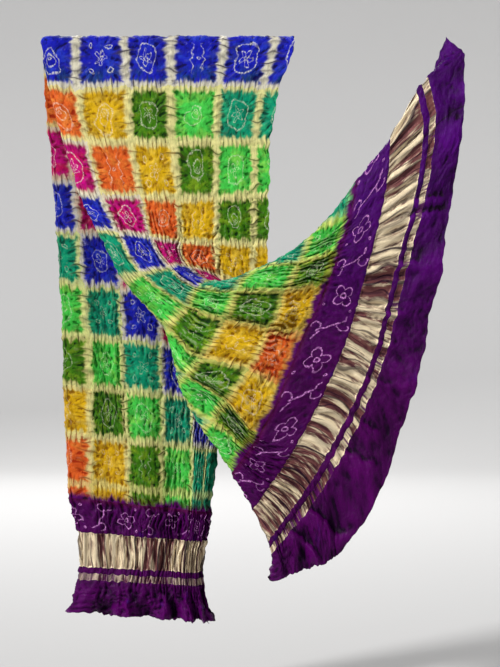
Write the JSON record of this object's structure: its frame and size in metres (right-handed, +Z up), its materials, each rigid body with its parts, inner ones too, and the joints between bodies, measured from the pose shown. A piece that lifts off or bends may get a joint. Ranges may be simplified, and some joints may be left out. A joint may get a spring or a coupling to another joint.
{
  "type": "folded dupatta stole hung over a support",
  "caption": "Tie-dyed silk dupatta folded lengthwise and hung over a support; one corner of its front end is lifted, so the cloth opens into a slanting swag with a gathered gold band.",
  "frame": {"origin": "top of the outer fold over the support, half way across the folded cloth, where it is held", "axes": "+X across to the right toward the lifted corner, +Y away from the front, +Z up"},
  "size_m": [0.8124, 0.1809, 1.1344],
  "materials": {
    "check_silk": "crinkled tie-dyed silk in rainbow checks with woven pale gold bands",
    "purple_silk": "crinkled purple silk with tied lilac dots",
    "gold_weave": "gathered pale gold metal-thread weave"
  },
  "bodies": {
    "root": {"top_fold": "check_silk", "front_panel": "check_silk", "front_swag": "check_silk", "back_panel": "check_silk", "front_vine_band": "purple_silk", "back_vine_band": "purple_silk", "front_narrow_strip": "purple_silk", "back_narrow_strip": "purple_silk", "front_plain_end": "purple_silk", "back_plain_end": "purple_silk", "front_gold_band": "gold_weave", "back_gold_band": "gold_weave", "front_thin_stripe": "gold_weave", "back_thin_stripe": "gold_weave"}
  },
  "joints": []
}
